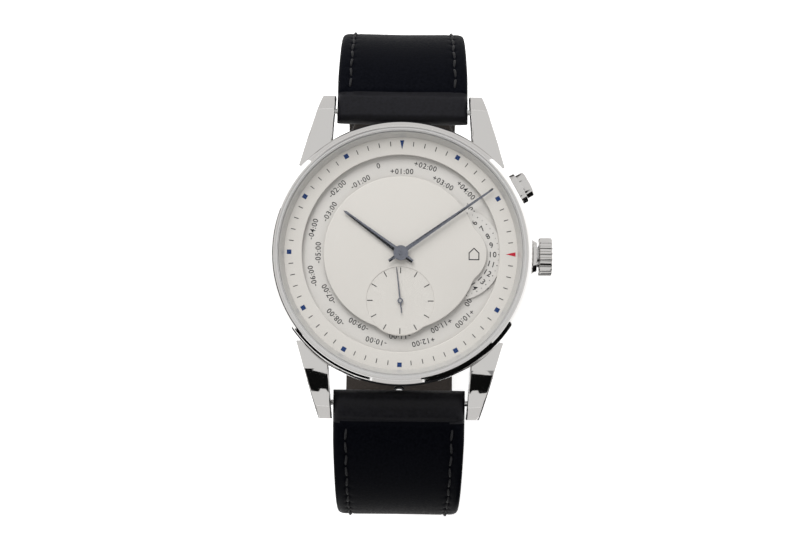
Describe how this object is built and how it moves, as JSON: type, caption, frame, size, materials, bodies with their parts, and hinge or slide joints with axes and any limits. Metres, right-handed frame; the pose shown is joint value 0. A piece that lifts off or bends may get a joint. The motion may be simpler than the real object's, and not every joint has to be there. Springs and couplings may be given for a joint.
{
  "type": "world time watch",
  "caption": "Round wristwatch with a world time ring, home time disc, small seconds, crown, zone button and leather strap with pin buckle.",
  "frame": {"origin": "middle of the wrist opening, 24 mm below the case back and level with the case's middle", "axes": "+Z out of the dial, +Y to 12 o'clock, +X to 3 o'clock and the crown, along the strap bars"},
  "size_m": [0.0429, 0.077, 0.0626],
  "materials": {
    "case_steel": "mirror polished stainless steel",
    "crown_steel": "polished and knurled stainless steel",
    "bar_steel": "satin stainless steel",
    "buckle_steel": "polished stainless steel",
    "front_glass": "clear sapphire glass, coated",
    "back_glass": "clear sapphire glass",
    "glass_seal": "translucent white plastic seal",
    "rubber_seal": "black rubber seal",
    "dial_silver": "silvered dial, fine satin",
    "ring_silver": "silvered ring, fine satin",
    "flange_silver": "satin silver slope",
    "hand_blue": "dark tempered steel, polished",
    "dial_print": "dark printed ink",
    "marker_blue": "blue printed ink",
    "marker_red": "red printed ink",
    "movement_plate": "rhodium plated, striped",
    "rotor_metal": "heavy alloy, circular brushing",
    "wheel_brass": "polished gilt brass",
    "screw_blue": "tempered blue steel",
    "spring_steel": "fine spring steel",
    "ruby": "polished synthetic ruby",
    "strap_leather": "glossy black cordovan leather",
    "strap_lining": "matt dark lining leather",
    "strap_thread": "waxed black thread"
  },
  "bodies": {
    "case": {"case_middle": "case_steel", "bezel": "case_steel", "crystal": "front_glass", "crystal_gasket": "glass_seal", "dial_flange": "flange_silver", "case_back_ring": "case_steel", "back_crystal": "back_glass", "case_back_gasket": "rubber_seal", "case_back_screws": "case_steel", "spring_bar_12": "bar_steel", "spring_bar_6": "bar_steel", "crown_tube": "crown_steel", "pusher_tube": "crown_steel", "pusher_spring": "spring_steel", "dial_plate": "movement_plate", "dial_spacer_ring": "movement_plate", "outer_dial_ring": "dial_silver", "inner_dial": "dial_silver", "main_plate": "movement_plate", "three_quarter_plate": "movement_plate", "jewels": "ruby", "plate_screws": "screw_blue", "balance_cock": "movement_plate", "rotor_bearing": "bar_steel"},
    "minute_works": {"minute_hand": "hand_blue", "cannon_pinion": "bar_steel"},
    "hour_works": {"hour_hand": "hand_blue", "hour_wheel": "wheel_brass"},
    "home_disc": {"home_time_disc": "ring_silver"},
    "world_ring": {"world_time_ring": "ring_silver"},
    "seconds_works": {"small_seconds_hand": "hand_blue", "seconds_arbor": "bar_steel", "fourth_wheel": "wheel_brass"},
    "barrel": {"mainspring_barrel": "wheel_brass"},
    "centre": {"centre_wheel": "wheel_brass"},
    "third": {"third_wheel": "wheel_brass"},
    "escape": {"escape_wheel": "spring_steel"},
    "fork": {"pallet_fork": "spring_steel"},
    "winding_rotor": {"rotor": "rotor_metal"},
    "balance": {"balance_wheel": "wheel_brass", "hairspring": "spring_steel"},
    "keyless_works": {"setting_lever": "bar_steel"},
    "crown_and_stem": {"crown": "crown_steel", "winding_stem": "bar_steel"},
    "zone_button": {"pusher_cap": "crown_steel"},
    "strap_12": {"strap_short_upper": "strap_leather", "strap_short_lining": "strap_lining", "fixed_keeper": "strap_leather", "buckle_spring_bar": "bar_steel"},
    "strap_6": {"strap_long_upper": "strap_leather", "strap_long_lining": "strap_lining"},
    "keeper": {"floating_keeper": "strap_leather"},
    "buckle": {"buckle_frame": "buckle_steel"},
    "tongue": {"buckle_tongue": "buckle_steel"}
  },
  "joints": [
    {"name": "minute_hand_turn", "type": "hinge", "parent": "case", "child": "minute_works", "pos_m": [0, 0, 0.0325], "axis": [0, 0, -1], "continuous": true},
    {"name": "hour_hand_turn", "type": "hinge", "parent": "case", "child": "hour_works", "pos_m": [0, 0, 0.0325], "axis": [0, 0, -1], "continuous": true},
    {"name": "home_disc_turn", "type": "hinge", "parent": "case", "child": "home_disc", "pos_m": [0.00827, 0, 0.0325], "axis": [0, 0, -1], "continuous": true},
    {"name": "world_ring_turn", "type": "hinge", "parent": "case", "child": "world_ring", "pos_m": [0, 0, 0.0325], "axis": [0, 0, -1], "continuous": true},
    {"name": "small_seconds_turn", "type": "hinge", "parent": "case", "child": "seconds_works", "pos_m": [0, -0.00715, 0.0325], "axis": [0, 0, -1], "continuous": true},
    {"name": "barrel_turn", "type": "hinge", "parent": "case", "child": "barrel", "pos_m": [0.00301, 0.00501, 0.0288], "axis": [0, 0, -1], "continuous": true},
    {"name": "centre_wheel_turn", "type": "hinge", "parent": "case", "child": "centre", "pos_m": [0, 0, 0.0281], "axis": [0, 0, -1], "continuous": true},
    {"name": "third_wheel_turn", "type": "hinge", "parent": "case", "child": "third", "pos_m": [0.00177, -0.00419, 0.02887], "axis": [0, 0, -1], "continuous": true},
    {"name": "escape_wheel_turn", "type": "hinge", "parent": "case", "child": "escape", "pos_m": [-0.00139, -0.01014, 0.02907], "axis": [0, 0, -1], "continuous": true},
    {"name": "pallet_fork_swing", "type": "hinge", "parent": "case", "child": "fork", "pos_m": [-0.00372, -0.00877, 0.02907], "axis": [0, 0, -1], "range_deg": [-5, 5]},
    {"name": "rotor_turn", "type": "hinge", "parent": "case", "child": "winding_rotor", "pos_m": [0, 0, 0.026], "axis": [0, 0, -1], "continuous": true},
    {"name": "balance_swing", "type": "hinge", "parent": "case", "child": "balance", "pos_m": [-0.0067, -0.007, 0.0285], "axis": [0, 0, -1], "range_deg": [-150, 150], "stiffness_Nm_per_rad": 0.0000004},
    {"name": "crown_pull", "type": "slide", "parent": "case", "child": "keyless_works", "axis": [1, 0, 0], "range_m": [0, 0.0012]},
    {"name": "crown_turn", "type": "hinge", "parent": "keyless_works", "child": "crown_and_stem", "pos_m": [0.0215, 0, 0.02845], "axis": [1, 0, 0], "continuous": true},
    {"name": "pusher_press", "type": "slide", "parent": "case", "child": "zone_button", "axis": [-0.866, -0.5, 0], "range_m": [0, 0.0008], "stiffness_N_per_m": 400, "springref_m": -0.001, "deforming": ["pusher_spring"]},
    {"name": "strap_12_swing", "type": "hinge", "parent": "case", "child": "strap_12", "pos_m": [0, 0.0223, 0.02575], "axis": [1, 0, 0], "range_deg": [0, 60]},
    {"name": "strap_6_swing", "type": "hinge", "parent": "case", "child": "strap_6", "pos_m": [0, -0.0223, 0.02575], "axis": [-1, 0, 0], "range_deg": [0, 60]},
    {"name": "buckle_swing", "type": "hinge", "parent": "strap_12", "child": "buckle", "pos_m": [0, 0.00064, -0.02397], "axis": [1, 0, 0], "range_deg": [0, 80]},
    {"name": "tongue_swing", "type": "hinge", "parent": "buckle", "child": "tongue", "pos_m": [0, 0.00064, -0.02397], "axis": [1, 0, 0], "range_deg": [0, 50]},
    {"name": "floating_keeper_slide", "type": "hinge", "parent": "strap_12", "child": "keeper", "pos_m": [0, 0, 0.01308], "axis": [1, 0, 0], "range_deg": [-10, 20]}
  ],
  "couplings": [
    {"joint": "centre_wheel_turn", "follows": "small_seconds_turn", "ratio": 0.016667},
    {"joint": "third_wheel_turn", "follows": "small_seconds_turn", "ratio": -0.13333},
    {"joint": "barrel_turn", "follows": "small_seconds_turn", "ratio": -0.0019231},
    {"joint": "escape_wheel_turn", "follows": "small_seconds_turn", "ratio": -8},
    {"joint": "hour_hand_turn", "follows": "minute_hand_turn", "ratio": 0.083333},
    {"joint": "home_disc_turn", "follows": "minute_hand_turn", "ratio": -0.041667},
    {"joint": "strap_6_swing", "follows": "strap_12_swing", "ratio": 1}
  ]
}
